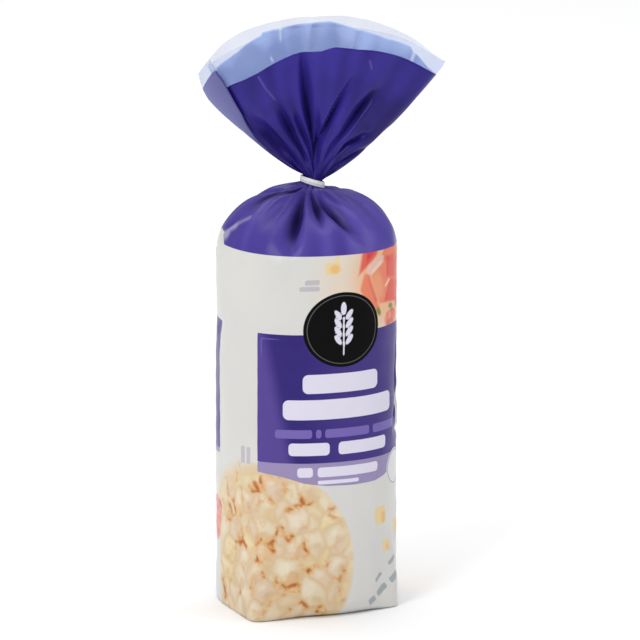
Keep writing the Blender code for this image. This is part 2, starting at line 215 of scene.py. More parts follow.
# How far the frill's two ends are drawn in, at shares of the way up.
WAISTS = (
    (-92, (0.10, 0.35, 0.50, 0.62, 0.80), (0, 0.0019, 0.0025, 0.0018, 0)),
    (86, (0.10, 0.30, 0.50, 0.75, 0.95), (0, 0.0004, 0.0024, 0.0020, 0)),
)
WAIST_WIDTH = 44

# The share of the frill's film that is printed, at turns.
INK_TURNS = (
    -180, -176, -156, -144, -143, -120, -105, -90, -80, -75, -70, -60, -50, -23,
    -3, 6, 23, 36, 62, 84, 98, 112, 113.5, 131, 149, 158, 170, 180)
INK_SHARES = (
    0.972, 0.970, 0.962, 0.962, 0.950, 0.907, 0.917, 0.880, 0.920, 0.840, 0.820, 0.812, 0.820, 0.868,
    0.875, 0.897, 0.892, 0.900, 0.908, 0.912, 0.922, 0.945, 0.957, 0.940, 0.945, 0.955, 0.975, 0.972)

# The print, in millimetres along the film and degrees of turn.
MM_PER_DEGREE = 0.8412
PRINT_BASE = -0.09
PRINT_NECK = 0.28
DESIGN_TURN = 5
RISE_TURNS = (-180, -128, -118, -108, -97, -90, -87, 180)
RISE_HEIGHTS = (0, 0, 4, 6.6, 5.4, 1.6, 0, 0)
DOME_EDGE_TURNS = (-180, -90, -20, 50, 110, 180)
DOME_EDGE_HEIGHTS = (200.4, 201, 200.5, 199.8, 199.8, 200.4)
PANEL_LEFT = -51.5
PANEL_RIGHT = 84
PANEL_TOP = 157.5
PANEL_END_HEIGHTS = (84, 92, 99, 127, 145, 158)
PANEL_END_TURNS = (61, 60, 57.5, 58.5, 65.5, 67)
PANEL_FOOT = 86.3
DISC_HEIGHT = 159.5
DISC_RADIUS = 21.2
CAKE_TURN = -50
CAKE_HEIGHT = 30
CAKE_RADIUS = 53.3
CAKE_SQUEEZE = 1.022
CAKE_CUT_HEIGHTS = (0, 56, 63)
CAKE_CUT = (-78, -80.5, -110)
BAND_TURNS = (-60, -51, -43, -35, -27.5, -21, -7, 12.5, 29, 37.5, 46, 56, 90)
BAND_FOOT = (81.4, 80.6, 79.8, 78.7, 77, 75.2, 73.6, 73, 73.4, 75, 78, 82, 84.5)

# The painted light and shade of the dome and the frill by side, at turns, and the
# painted light on the overlapping pleat, at gaps in turn from its crease.
DOME_LIGHT_TURNS = (-130, -80, -40, 0, 50, 100)
DOME_PAINTED_LIGHT = (0, -0.34, -0.24, 0, 0.3, 0.2)
FRILL_LIGHT_TURNS = (-70, -12, 14, 60)
FRILL_PAINTED_LIGHT = (-0.06, 0.2, 0.2, -0.06)
# Painted light on the overlapping pleat's outside: full away from its crease, less near it.
FACET_GAPS = (-40, -18, -10, -0.8, 0.2)
FACET_PAINTED_LIGHT = (0, 1, 0.9, 0.62, 0)


def smooth_step(x):
    """A rise from 0 to 1 with level ends, for x from 0 to 1."""
    x = np.clip(x, 0, 1)
    return x * x * (3 - 2 * x)


def turn_gap(turns, centre):
    """The signed gap from a turn to other turns, from -180 to 180 degrees."""
    return (turns - centre + 180) % 360 - 180


def hump(turns, centre, width):
    """1 at the centre, falling as a parabola to 0 at the width to either side."""
    return np.clip(1 - (turn_gap(turns, centre) / width) ** 2, 0, 1)


def fold_depth(turns, out, folds):
    """How far the film is drawn in, at turns and at shares of the way out.

    Each fold is a valley along its line. Across it the depth falls as the exponential of
    minus the 1.5th power of the gap over the half width, which is smaller on the steep
    side. Along it the depth rises from the neck and falls smoothly to nothing at its end.
    """
    depth = np.zeros(np.broadcast_shapes(turns.shape, out.shape))
    for shares, line_turns, neck_width, end_width, most, deepest, reach, steep in folds:
        gap = turn_gap(turns, np.interp(out, shares, line_turns))
        width = neck_width + (end_width - neck_width) * np.clip(out / reach, 0, 1)
        width = width * np.where(gap > 0, 1 - 0.5 * steep, 1 + 0.5 * steep)
        rise = np.where(out < deepest, 2 * smooth_step(out / deepest / 2), 1)
        fall = 1 - smooth_step((out - deepest) / (reach - deepest))
        depth = depth + most * rise * fall * np.exp(-(np.abs(gap) / width) ** 1.5)
    return depth


def ripples(turns, along, seed, count, strength, cycles, stretch):
    """Small uneven waves: a sum of cosines with random whole numbers of turns round the
    bag, random slopes along it, and random phases."""
    rng = np.random.default_rng(seed)
    total = np.zeros(np.broadcast_shapes(turns.shape, along.shape))
    for _ in range(count):
        around = rng.integers(cycles[0], cycles[1] + 1)
        slope = rng.uniform(-stretch, stretch)
        phase = rng.uniform(0, 2 * math.pi)
        total = total + np.cos(np.radians(turns) * around + along * slope + phase)
    return strength * total / math.sqrt(count)


def wall_radius(turns, z):
    """How far the wall is from the axis: a squared circle, plus the base's corners, each
    of them the meeting point of two straight tangents of the circle."""
    angle = np.radians(turns)
    squared = np.abs(np.sin(angle)) ** WALL_SQUARENESS + np.abs(np.cos(angle)) ** WALL_SQUARENESS
    radius = WALL_HALF_WIDTH * squared ** (-1 / WALL_SQUARENESS)
    fade = (1 - smooth_step(z / CORNER_FADE_Z)) ** CORNER_FADE_POWER
    reach = np.ones(np.broadcast_shapes(turns.shape, np.shape(z)))
    for corner_turn, corner_reach in BASE_CORNERS:
        at_corner = WALL_HALF_WIDTH + (corner_reach - WALL_HALF_WIDTH) * fade
        tangent = np.degrees(np.arccos(WALL_HALF_WIDTH / at_corner))
        away = np.sqrt(turn_gap(turns, corner_turn) ** 2 + BASE_CORNER_TIP**2) - BASE_CORNER_TIP
        reach = np.maximum(reach, 1 / np.cos(np.radians(np.maximum(tangent - away, 0))))
    return np.maximum(radius, WALL_HALF_WIDTH * reach)


def ring_points(turns, radius, z, centre=(0, 0)):
    """Points at these turns, distances from a centre, and heights."""
    angle = np.radians(turns)
    x, y = centre[0] + radius * np.sin(angle), centre[1] - radius * np.cos(angle)
    return np.stack(np.broadcast_arrays(x, y, z), axis=-1)


def bump_at(turns, z, turn, height, turn_width, tall):
    """A soft round swelling: the exponential of minus the squared gaps over its widths."""
    across = turn_gap(turns, turn) / turn_width
    return np.exp(-(across**2) - ((z - height) / tall) ** 2)


def crease_at(turns, z, start, end, width):
    """A ridge along a straight line between two points in turn and height, as 1 on the
    line falling to 0 at its width to either side, with tapered ends."""
    (turn0, z0), (turn1, z1) = start, end
    ahead = np.array([(turn1 - turn0) * MM_PER_DEGREE, (z1 - z0) * 1000])
    length = math.hypot(*ahead)
    ahead /= length
    east = turn_gap(turns, turn0) * MM_PER_DEGREE
    north = (z - z0) * 1000
    along = (east * ahead[0] + north * ahead[1]) / length
    aside = -east * ahead[1] + north * ahead[0]
    taper = np.sqrt(np.clip(4 * along * (1 - along), 0, 1))
    return taper * np.exp(-((np.abs(aside) / width) ** 1.4))


# Folds and dents of the wall: two ends as turn and height, width in millimetres, and
# how far the film goes in, in metres, or out where that is below zero.
WALL_CREASES = (
    ((-49, 0.002), (-62, 0.052), 2.6, -0.0006),
    ((-44, 0.004), (-30, 0.040), 3, 0.0006),
    ((-60, 0.006), (-84, 0.060), 4, 0.0009),
    ((-96, 0.064), (-72, 0.052), 4, 0.0012),
    ((-104, 0.150), (-78, 0.168), 5, 0.0007),
    ((-96, 0.172), (-84, 0.150), 3.5, -0.0004),
    ((47, 0.004), (62, 0.060), 3, -0.0006),
    ((40, 0.006), (26, 0.036), 3, 0.0005),
    ((51, 0.100), (66, 0.128), 1.6, 0.0015),
    ((50, 0.098), (80, 0.095), 1.8, 0.0012),
    ((54, 0.116), (60, 0.150), 1.5, 0.0010),
    ((62, 0.090), (58, 0.132), 1.2, -0.0007),
    ((133, 0.004), (120, 0.050), 3, -0.0006),
    ((133, 0.004), (150, 0.046), 3, 0.0006),
    ((-133, 0.004), (-120, 0.050), 3, -0.0006),
    ((-133, 0.004), (-150, 0.046), 3, 0.0006),
    ((150, 0.120), (118, 0.150), 4, 0.0006),
    ((-158, 0.090), (-128, 0.108), 4, 0.0006),
    ((110, 0.070), (128, 0.100), 3, 0.0005),
)
# Round dents of the wall: turn and height, widths in degrees and metres, and depth.
WALL_DENTS = ((-92, 0.056, 16, 0.010, 0.0011), (-100, 0.158, 18, 0.012, 0.0010))
CAKE_PITCH = 0.0137
CAKE_BAND = 0.00009
RELIEF_FULL_Z = 0.012


def wall_relief(turns, z):
    """How far the wall stands in (below zero) or out of its plain shape.

    The stacked cakes press out in soft bands, the cube of a cosine of the height over
    their pitch. Ripples, creases and dents are added. All of it fades out at the base."""
    band = CAKE_BAND * np.cos(2 * math.pi * z / CAKE_PITCH) ** 3
    relief = band + ripples(turns, z, *WALL_SLOW) + ripples(turns, z, *WALL_FINE)
    for start, end, width, depth in WALL_CREASES:
        relief = relief - depth * crease_at(turns, z, start, end, width)
    for *dent, depth in WALL_DENTS:
        relief = relief - depth * bump_at(turns, z, *dent)
    return relief * smooth_step(z / RELIEF_FULL_Z)


def base_rounding(turns):
    """The radius of the base's rounded edge at each turn."""
    facing = np.abs(np.cos(np.radians(turns)))
    start, full = BASE_ROUNDING_FACING
    share = smooth_step((facing - start) / (full - start))
    return BASE_ROUNDING_SIDE + (BASE_ROUNDING_FRONT - BASE_ROUNDING_SIDE) * share


def dome_points(turns, out):
    """Points of the dome: a half ellipse from the shoulder (out is 1) to the neck (out
    is 0), with its folds and small ripples drawn in along its normal."""
    angle = (1 - out) * math.pi / 2
    shoulder = wall_radius(turns, SHOULDER_Z)
    fullness = DOME_FULLNESS - DOME_LEAN * np.cos(np.radians(turns - DOME_FULL_SIDE))
    share = np.maximum(np.cos(angle), 0) ** fullness
    radius = NECK_RADIUS + (shoulder - NECK_RADIUS) * share
    z = SHOULDER_Z + DOME_RISE * np.sin(angle)
    pleats = np.exp(-out / 0.16) * ripples(turns, out, *DOME_PLEATS)
    fine = ripples(turns, out, *DOME_FINE) * smooth_step(out * 3)
    slow = ripples(turns, out, *DOME_SLOW) * smooth_step(out * 2)
    folds = fold_depth(turns, out, DOME_FOLDS)
    relief = wall_relief(turns, np.full_like(out, SHOULDER_Z)) * smooth_step(out * 5 - 4)
    ridge_turn = RIDGE_TURN - RIDGE_BEND * np.exp(-out / RIDGE_BEND_SHARE)
    ridge = RIDGE_HEIGHT * np.exp(-((turn_gap(turns, ridge_turn) / RIDGE_WIDTH) ** 2))
    ridge = ridge * smooth_step(out * 5) * (1 - smooth_step((out - 0.35) / 0.35))
    depth = folds - pleats - fine - slow - relief - ridge
    slope = np.arctan2(np.sin(angle) / DOME_RISE, np.cos(angle) / WALL_HALF_WIDTH)
    slant = NECK_SLANT * NECK_RADIUS * np.sin(np.radians(turns)) * (1 - out) ** 3
    points = ring_points(turns, radius - depth * np.cos(slope), z + slant - depth * np.sin(slope))
    points[..., :2] += NECK_CENTRE * (1 - share)[..., None]
    return points


def neck_points(turns, z):
    """The gathered neck: a round bundle with small uneven pleats, on a slant."""
    pleats = ripples(turns, np.zeros(1), *NECK_PLEATS)
    slant = NECK_SLANT * NECK_RADIUS * np.sin(np.radians(turns))
    return ring_points(turns, NECK_RADIUS - 0.0005 + pleats, z + slant, NECK_CENTRE)


def frill_edge(turns):
    """The cut edge of the frill from the neck's top, at even steps along the film.

    Seen from above it is a squared ellipse, and each point's height is what the length
    of the film leaves after its spread."""
    fine = np.linspace(-math.pi, math.pi, 2881)
    power = 2 / FRILL_SQUARENESS
    along = FRILL_HALF_LENGTH * np.sign(np.sin(fine)) * np.abs(np.sin(fine)) ** power
    depth = FRILL_HALF_DEPTH * (1 + FRILL_NARROWER * along / FRILL_HALF_LENGTH)
    across = -depth * np.sign(np.cos(fine)) * np.abs(np.cos(fine)) ** power
    steps = np.hypot(np.diff(along), np.diff(across))
    length = np.concatenate([[0], np.cumsum(steps)])
    wanted = (turn_gap(turns, 0) / 360 + 0.5) * length[-1]
    along, across = (np.interp(wanted, length, values) for values in (along, across))
    side = along / FRILL_HALF_LENGTH
    reach = FRILL_REACH + FRILL_END_REACH * side**2 + FRILL_SIDE_REACH * side
    reach = reach + FRILL_SHOULDER_REACH * 4 * side**2 * (1 - side**2)
    along = along + FRILL_CENTRE
    turned = math.radians(FRILL_TURN)
    x = along * math.cos(turned) - across * math.sin(turned)
    y = along * math.sin(turned) + across * math.cos(turned)
    return np.stack([x, y, np.sqrt(reach**2 - x**2 - y**2)], axis=-1)


def grid_normals(points):
    """Unit normals of a grid that closes along its second axis, from the differences to
    each point's neighbours."""
    beside = np.roll(points, -1, axis=1) - np.roll(points, 1, axis=1)
    ahead = np.gradient(points, axis=0)
    normal = np.cross(beside, ahead)
    return normal / np.maximum(np.linalg.norm(normal, axis=-1, keepdims=True), 1e-12)


def frill_points(turns, out):
    """Points of the frill's film, on lines from the bundle to the cut edge that lie
    flatter at first, like a goblet, with folds, waves and small creases drawn in."""
    bundle = neck_points(turns[:1], np.full(1, NECK_TOP_Z))
    edge = frill_edge(turns[:1]) + np.array([*NECK_CENTRE, NECK_TOP_Z])
    sideways = (out * (1 + FRILL_GOBLET * (1 - out)))[..., None]
    upward = (out * (1 - FRILL_GOBLET * (1 - out)))[..., None]
    flat = bundle[..., :2] + (edge - bundle)[..., :2] * sideways
    z = bundle[..., 2] + (edge - bundle)[..., 2] * upward[..., 0]
    tangent = np.roll(flat, -1, axis=1) - np.roll(flat, 1, axis=1)
    outward = np.stack([tangent[..., 1], -tangent[..., 0]], axis=-1)
    outward /= np.linalg.norm(outward, axis=-1, keepdims=True)
    push = -fold_depth(turns, out, FRILL_FOLDS)
    swell = hump(turns, FRILL_BULGE_TURN, FRILL_BULGE_WIDTH)
    push = push + FRILL_BULGE * 4 * out**3 * (1 - out) * swell
    for count, depth, phase in RIM_WAVES:
        push = push + depth * out**2 * np.sin(np.radians(turns * count) + phase)
    pleats = np.exp(-out / 0.22) * smooth_step(out * 12) * ripples(turns, out, *FRILL_PLEATS)
    waves = ripples(turns, out, *FRILL_SLOW) + ripples(turns, out, *FRILL_FINE)
    push = push + pleats + waves * smooth_step(out * 2)
    for turn, shares, depths in WAISTS:
        push = push - np.interp(out, shares, depths) * hump(turns, turn, WAIST_WIDTH)
    gap = turn_gap(turns, np.interp(out, PLEAT_SHARES, PLEAT_TURNS))
    strength = smooth_step((out - PLEAT_FROM) / (PLEAT_FULL - PLEAT_FROM)) / 1000
    aside, upwards, forwards = (
        np.interp(gap, PLEAT_GAPS, moves) * strength for moves in zip(*PLEAT_MOVES))
    flat = flat + outward * push[..., None]
    flat = flat + aside[..., None] * PLEAT_SIDEWAYS + forwards[..., None] * PLEAT_FORWARDS
    return np.concatenate([flat, (z + upwards)[..., None]], axis=-1)


def fold_shade(turns, out, folds):
    """The painted shade of the folds, as 0 to 1, which also dulls their gloss: how deep in a
    fold the film is, the depth against 5 mm, or less near the neck, where the folds are
    small but tight."""
    full = 0.0022 + 0.0046 * smooth_step(out * 2)
    return np.clip(fold_depth(turns, out, folds) / full, 0, 1)


def ink_edge(turns):
    """The share of the frill's film that is printed, at each turn: the front's edge, the
    back's edge, and straight runs between them."""
    return np.interp(turn_gap(turns, 0), INK_TURNS, INK_SHARES)


def add_object(name, data, place=None, toward=None):
    """A new object in the scene, with its -Z axis along a direction where one is given."""
    made = bpy.data.objects.new(name, data)
    bpy.context.scene.collection.objects.link(made)
    if toward is not None:
        made.location = place
        made.rotation_mode = "QUATERNION"
        made.rotation_quaternion = toward.to_track_quat("-Z", "Y")
    return made


def film_object(name, points, wrap=False):
    """A mesh over a grid of points that closes along its second axis. Each end is a flat
    cap of triangles to the ring's middle, or else the last ring joins the first."""
    rows, around = points.shape[:2]
    index = np.arange(rows * around).reshape(rows, around)
    if wrap:
        index = np.vstack([index, index[:1]])
    beside = np.roll(index, -1, axis=1)
    quads = np.stack([index[:-1], beside[:-1], beside[1:], index[1:]], axis=-1)
    vertices, faces = points.reshape(-1, 3), quads.reshape(-1, 4).tolist()
    caps = () if wrap else ((points[0], beside[0], index[0]), (points[-1], index[-1], beside[-1]))
    for ring, first, second in caps:
        pole = np.full(around, len(vertices))
        vertices = np.vstack([vertices, ring.mean(axis=0)])
        faces += np.stack([first, second, pole], axis=-1).tolist()
    mesh = bpy.data.meshes.new(name)
    mesh.from_pydata(vertices.tolist(), [], faces)
    mesh.shade_smooth()
    return add_object(name, mesh)


def store(piece, name, values):
    """Keeps one number for each vertex, filled up with the last one for the poles."""
    count = len(piece.data.vertices)
    flat = np.asarray(values, np.float32).reshape(-1)
    flat = np.concatenate([flat, np.full(count - len(flat), flat[-1], np.float32)])
    layer = piece.data.attributes.new(name, "FLOAT", "POINT")
    layer.data.foreach_set("value", flat)


def rounded_box(x, y, left, right, low, high, corner):
    """The signed distance to a box with rounded corners, below zero inside."""
    dx = np.abs(x - (left + right) / 2) - (right - left) / 2 + corner
    dy = np.abs(y - (low + high) / 2) - (high - low) / 2 + corner
    outside = np.hypot(np.maximum(dx, 0), np.maximum(dy, 0))
    return outside + np.minimum(np.maximum(dx, dy), 0) - corner


def tilted(x, y, cx, cy, degrees):
    """Coordinates about a point, turned by an angle."""
    c, s = math.cos(math.radians(degrees)), math.sin(math.radians(degrees))
    return (x - cx) * c + (y - cy) * s, -(x - cx) * s + (y - cy) * c


def block(x, y, cx, cy, wide, tall, degrees, corner=0.6):
    """The signed distance to a turned box with rounded corners."""
    u, v = tilted(x, y, cx, cy, degrees)
    return rounded_box(u, v, -wide / 2, wide / 2, -tall / 2, tall / 2, corner)


def ellipse(x, y, cx, cy, rx, ry, tilt=0):
    """About the signed distance to an ellipse: its scaled radius less 1, times its
    smaller half width."""
    u, v = tilted(x, y, cx, cy, tilt)
    return (np.hypot(u / rx, v / ry) - 1) * min(rx, ry)


def wedge(x, y, *corners):
    """About the signed distance to a convex shape with these corners, counterclockwise:
    the largest of the distances to its sides."""
    sides = []
    for (x0, y0), (x1, y1) in zip(corners, corners[1:] + corners[:1]):
        length = math.hypot(x1 - x0, y1 - y0)
        sides.append(((x - x0) * (y1 - y0) - (y - y0) * (x1 - x0)) / length)
    return np.max(sides, axis=0)


def streak(turns, height, start, end, half):
    """The signed distance to a straight streak with round ends, given as turns and
    millimetres."""
    x, y = turn_gap(turns, start[0]) * MM_PER_DEGREE, height - start[1]
    dx, dy = (end[0] - start[0]) * MM_PER_DEGREE, end[1] - start[1]
    share = np.clip((x * dx + y * dy) / (dx * dx + dy * dy), 0, 1)
    return np.hypot(x - share * dx, y - share * dy) - half


def nearest(x, y, shapes):
    """The signed distance to the nearest of several shapes, each given as its function
    and its sizes."""
    return np.min([shape(x, y, *sizes) for shape, *sizes in shapes], axis=0)


# Plain bars in place of lettering: left and right turn, low and high millimetres, and
# corner radius.
BARS = {
    "pale": (
        (-22, 31, 125, 135.5, 3),
        (-34.5, 44.5, 110.5, 121.5, 3.2),
        (-31, -4.5, 90.6, 97.6, 2),
        (1.5, 39, 90.6, 97.6, 2),
        (-25.5, -15.5, 78.6, 84, 1.6),
        (-12.5, 31, 78.6, 84, 1.6),
        (-12.5, 16, 74.6, 76.7, 0.9),
    ),
    "faint": (
        (-39.5, -16, 100.2, 105, 1.2),
        (-13.5, -10, 100.2, 105, 1.2),
        (-7.5, 24, 100.2, 105, 1.2),
        (27, 55, 100.2, 105, 1.2),
    ),
    "grey": (
        (-20.5, -11, 185, 187.6, 0.5),
        (-24, -11, 181.4, 184, 0.5),
        (-65, -61.5, 84, 93.5, 0.5),
        (-60, -57, 84, 93.5, 0.5),
    ),
}

# The pictures of food on the front's upper right and lower left, as plain cut pieces of
# cheese and fruit, with leaves, and after them the grey marks, the pale seal, and the thin
# line round the panel with the corner where it shows. Each shape has its sizes in
# millimetres, from the front's middle and from the base.
PICTURES = {
    "glow": ((ellipse, 26, 183, 35, 27),),
    "peach": ((ellipse, 42, 184, 31, 26, -6),),
    "cut_fruit": (
        (wedge, (21.5, 187.4), (28, 171), (62, 168), (66, 202), (33.5, 201)),
        (wedge, (17, 189.8), (14, 180), (24, 163), (28, 168.5))),
    "red_parts": (
        (wedge, (13, 188.3), (26.5, 198.6), (27.5, 204), (16.5, 204)),
        (wedge, (34, 185), (50, 181), (54, 195), (33.5, 196)),
        (wedge, (32, 171.5), (52, 168), (54, 179.5), (37, 183)),
        (block, 22.1, 180.5, 1.7, 17.6, 23, 0.5)),
    "deep_red": (
        (wedge, (18.5, 195), (23.5, 199), (24, 204), (18.5, 204)),
        (wedge, (45, 166), (54, 166), (54, 184), (48, 180))),
    "flesh": ((ellipse, 27, 181, 4, 8, 18),),
    "shine": (
        (wedge, (18.8, 188.2), (21.8, 187.6), (31.2, 193.4), (32, 196.6), (27.2, 197.8), (18.4, 192.8)),),
    "streak": ((block, 25.6, 191.6, 9.5, 1.5, 32), (block, 35, 181.2, 6.4, 1.5, 34)),
    "fruit": ((ellipse, 39.6, 160.6, 7.2, 5.8), (ellipse, 62, 46, 12.6, 12.6)),
    "leaves": ((ellipse, 27.2, 166.6, 1.5, 2.6, 30), (ellipse, 39, 167.8, 2.9, 1.5, -12)),
    "cheese": (
        (block, -2, 193.4, 8, 6.8, 2, 1.6), (block, 0.8, 199, 1.5, 6, 0, 0.5),
        (block, 28.6, 53.2, 8.6, 9.6, 4, 1.2), (block, 34, 35.4, 6, 6.4, 16, 1.2),
        (block, 47, 44, 6.5, 8, -10, 1.4)),
    "cheese_side": (
        (ellipse, -0.6, 193, 2.8, 2.4), (block, 31.4, 51.6, 3.4, 6.4, 4, 1),
        (block, 35.4, 34.2, 2.2, 3.4, 16, 0.8)),
    "marks": (
        (block, 22.5, 6.6, 5, 3.6, 33), (block, 29.6, 11.3, 8, 3.6, 33),
        (block, 38.6, 17, 7.5, 3.6, 33), (block, 27.6, 18.6, 6.5, 2.2, 33),
        (block, 38, 26.4, 7, 2.2, 33)),
    "seal": ((ellipse, 44.5, 77.4, 10.2, 10.2),),
    "line": ((rounded_box, -41, 66, 40, 154.8, 0.6),),
    "corner": ((ellipse, -41, 154.8, 9, 9),),
}
# Those that end at the front's right side, and the height from which they are cut there.
UPPER_PICTURES = ("glow", "peach", "cut_fruit", "red_parts", "deep_red", "fruit")
PICTURE_END = 51
PICTURE_END_FROM = 130

# Painted glints where glossy wrinkles catch the light at the left shoulder: two ends as
# turn and millimetres, and half width.
PAINTED_GLINTS = (
    (streak, (-98, 204.5), (-84, 213), 1.8),
    (streak, (-100, 203.5), (-90, 206.5), 3),
    (streak, (-88, 211), (-74, 219.5), 0.4),
)
# The same painted glints for the frill's outside and for its lining, with millimetres up
# the frill.
FRILL_PAINTED_GLINTS = (
    (streak, (-51, 69.5), (-48.4, 62.5), 0.3),
    (streak, (-48.4, 62.5), (-44, 55.2), 0.2),
    (streak, (33, 73.4), (36, 70), 0.2),
)
LINING_PAINTED_GLINTS = (
    (streak, (-156, 84.3), (-155.3, 79), 0.2),
    (streak, (-146.5, 71.6), (-147.5, 69.8), 0.2),
    (streak, (110.6, 86), (109.6, 77.3), 0.5),
    (streak, (-106.5, 82.5), (-107.5, 79.5), 0.3),
)


def cake_edge(x, y):
    """The signed distance to the cake's slightly upright ellipse, made smaller on its
    upper left, where the edge melts into the white."""
    melting = smooth_step((-x - y * 0.4 + 36) / 30) * smooth_step((y - 22) / 20)
    return (np.hypot(x * CAKE_SQUEEZE, y / CAKE_SQUEEZE) - CAKE_RADIUS) * (1 - 0.7 * melting)


def panel_painted_reflection(turns, height):
    """The panel's painted reflection of a soft light, as 0 to 1: strongest along a slanting
    strip at its left edge, none next to it, and midway on the right."""
    edge = turns + 47 - (157 - height) * 0.24
    strip = 1 - smooth_step((edge + 5) / 11)
    return np.maximum(strip, 0.38 * smooth_step((turns + 28) / 38))


def grain_ear():
    """A plain ear of grain: a thin upright stalk, with grains as leaning ellipses in
    pairs to its left and right and one more on its top."""
    grains = [
        (ellipse, side * 3.2, -5.6 + row * 4.6, 1.35, 3.3, side * -36)
        for row in range(4) for side in (1, -1)]
    return [(rounded_box, -0.4, 0.4, -14.5, 7, 0.35), (ellipse, 0, 11.6, 1.6, 3.6), *grains]


def one_side(turns, height):
    """The fields that the front and the back share, at turns from that side's middle. The
    panel's painted reflection is made negative, so that the lesser of two sides is the
    brighter one."""
    x = turns * MM_PER_DEGREE
    left, right = PANEL_LEFT * MM_PER_DEGREE, PANEL_RIGHT * MM_PER_DEGREE
    disc = turn_gap(turns, DESIGN_TURN) * MM_PER_DEGREE, height - DISC_HEIGHT
    cake = turn_gap(turns, CAKE_TURN) * MM_PER_DEGREE, height - CAKE_HEIGHT
    fields = {
        "panel": rounded_box(x, height, left, right, PANEL_FOOT, PANEL_TOP, 0.2),
        "band": np.maximum(
            np.interp(turns, BAND_TURNS, BAND_FOOT) - height,
            rounded_box(x, height, left, right, 60, PANEL_FOOT, 0.2)),
        "disc": ellipse(*disc, 0, 0, DISC_RADIUS * 1.06, DISC_RADIUS * 0.97),
        "sprig": nearest(*disc, grain_ear()),
        "cake": np.maximum(cake_edge(*cake), np.interp(height, CAKE_CUT_HEIGHTS, CAKE_CUT) - x),
        # The panel's painted reflection, made negative.
        "light": np.where(np.abs(turns) < 90, -panel_painted_reflection(turns, height), 0),
    }
    for name, bars in BARS.items():
        fields[name] = nearest(x, height, [
            (rounded_box, start * MM_PER_DEGREE, end * MM_PER_DEGREE, *rest)
            for start, end, *rest in bars])
    for name, shapes in PICTURES.items():
        fields[name] = nearest(x, height, shapes)
        if name in UPPER_PICTURES:
            cut = np.maximum(fields[name], (x - PICTURE_END) * 1.5)
            fields[name] = np.where(height > PICTURE_END_FROM, cut, fields[name])
    return fields


def print_fields(turns, height):
    """The signed distance in millimetres to each printed shape, below zero inside it. The
    back repeats the front half a turn on, and the nearer of the two counts."""
    front_turns = turn_gap(turns, 0)
    front, back = one_side(front_turns, height), one_side(turn_gap(turns, 180), height)
    fields = {name: np.minimum(front[name], back[name]) for name in front}
    # The panel's painted reflection, made positive again.
    fields["light"] = -fields["light"]
    past_end = front_turns - np.interp(height, PANEL_END_HEIGHTS, PANEL_END_TURNS)
    past_end = np.where(np.abs(turn_gap(turns, 60)) < 40, past_end * MM_PER_DEGREE, -30)
    for name in ("panel", "band"):
        fields[name] = np.maximum(fields[name], past_end)
    edge = np.interp(front_turns, DOME_EDGE_TURNS, DOME_EDGE_HEIGHTS)
    fields["dome"] = edge + np.interp(front_turns, RISE_TURNS, RISE_HEIGHTS) - height
    # The painted glints of glossy wrinkles at the left shoulder.
    fields["painted_glint"] = nearest(turns, height, PAINTED_GLINTS)
    return fields


def linear(ink):
    """An ink's colour, given as 0 to 255 on a screen, in the linear values of a shader."""
    shares = np.array(ink) / 255
    return tuple(np.where(shares <= 0.04045, shares / 12.92, ((shares + 0.055) / 1.055) ** 2.4))


class Finish:
    """A material with its shader, and short ways to add and join its nodes."""

    def __init__(self, name):
        self.material = bpy.data.materials.new(name)
        self.material.use_nodes = True
        self.tree = self.material.node_tree

    def feed(self, sockets, values):
        """Sets each named socket to its number, list or ink, or joins another node's output
        to it where that is given."""
        for name, value in values.items():
            if isinstance(value, (int, float, list)):
                sockets[name].default_value = value
            elif isinstance(value, tuple):
                sockets[name].default_value = (*linear(value), 1)
            elif value is not None:
                self.tree.links.new(value, sockets[name])

    def set(self, **values):
        """Sets the shader's sockets, whose names have underscores here for spaces."""
        shader = self.tree.nodes["Principled BSDF"]
        self.feed(shader.inputs, {name.replace("_", " "): value for name, value in values.items()})

    def node(self, kind, output, values=None, **settings):
        """The output of a new node with these settings and values for its sockets."""
        made = self.tree.nodes.new(kind)
        for key, value in settings.items():
            setattr(made, key, value)
        self.feed(made.inputs, values or {})
        return made.outputs[output]

    def field(self, name):
        return self.node("ShaderNodeAttribute", "Fac", attribute_name=name)

    def place(self):
        return self.node("ShaderNodeTexCoord", "Object")

    def span(self, source, low, high, start=0, end=1):
        """Maps a number smoothly from one span to another, held at both ends."""
        values = {"Value": source, "From Min": low, "From Max": high, "To Min": start, "To Max": end}
        return self.node("ShaderNodeMapRange", "Result", values, interpolation_type="SMOOTHSTEP")

    def maths(self, operation, first, second=0):
        return self.node("ShaderNodeMath", 0, {0: first, 1: second}, operation=operation)

    def mix(self, share, first, second):
        """Mixes two colours."""
        return self.node("ShaderNodeMix", 2, {0: share, 6: first, 7: second}, data_type="RGBA")

    def inks(self, colour, *rows):
        """Lays inks over a colour one after the other. Each row is an ink and its share, or
        the ink and what span() takes for its share."""
        for ink, *share in rows:
            colour = self.mix(self.span(*share) if len(share) > 1 else share[0], colour, ink)
        return colour

    def noise(self, scale, detail=3, rough=0.5, stretch=(1, 1, 1), warp=0):
        mapped = self.node("ShaderNodeMapping", 0, {"Vector": self.place(), "Scale": list(stretch)})
        values = {"Scale": scale, "Detail": detail, "Roughness": rough, "Distortion": warp}
        return self.node("ShaderNodeTexNoise", "Fac", {"Vector": mapped, **values})

    def bump(self, height, strength, distance, under=None):
        values = {"Strength": strength, "Distance": distance, "Height": height, "Normal": under}
        return self.node("ShaderNodeBump", "Normal", values)


# The inks, as 0 to 255 on a screen.
DOME_INK = (74, 61, 146)
# The dome's lighter ink, for its stripes along the film and its painted light by side.
DOME_LIGHT_INK = (88, 76, 162)
# Painted shade, laid into the valleys of the folds.
SHADE_INK = (27, 21, 70)
PANEL_INK = (48, 34, 115)
# The panel's lighter ink, for its painted reflection of a soft light.
PANEL_REFLECTION_INK = (84, 66, 144)
BAND_INK = (152, 140, 180)
WHITE_FILM = (216, 215, 210)
DISC_INK = (17, 17, 17)
PALE_INK = (222, 218, 234)
FAINT_INK = (116, 100, 174)
GREY_INK = (190, 187, 192)

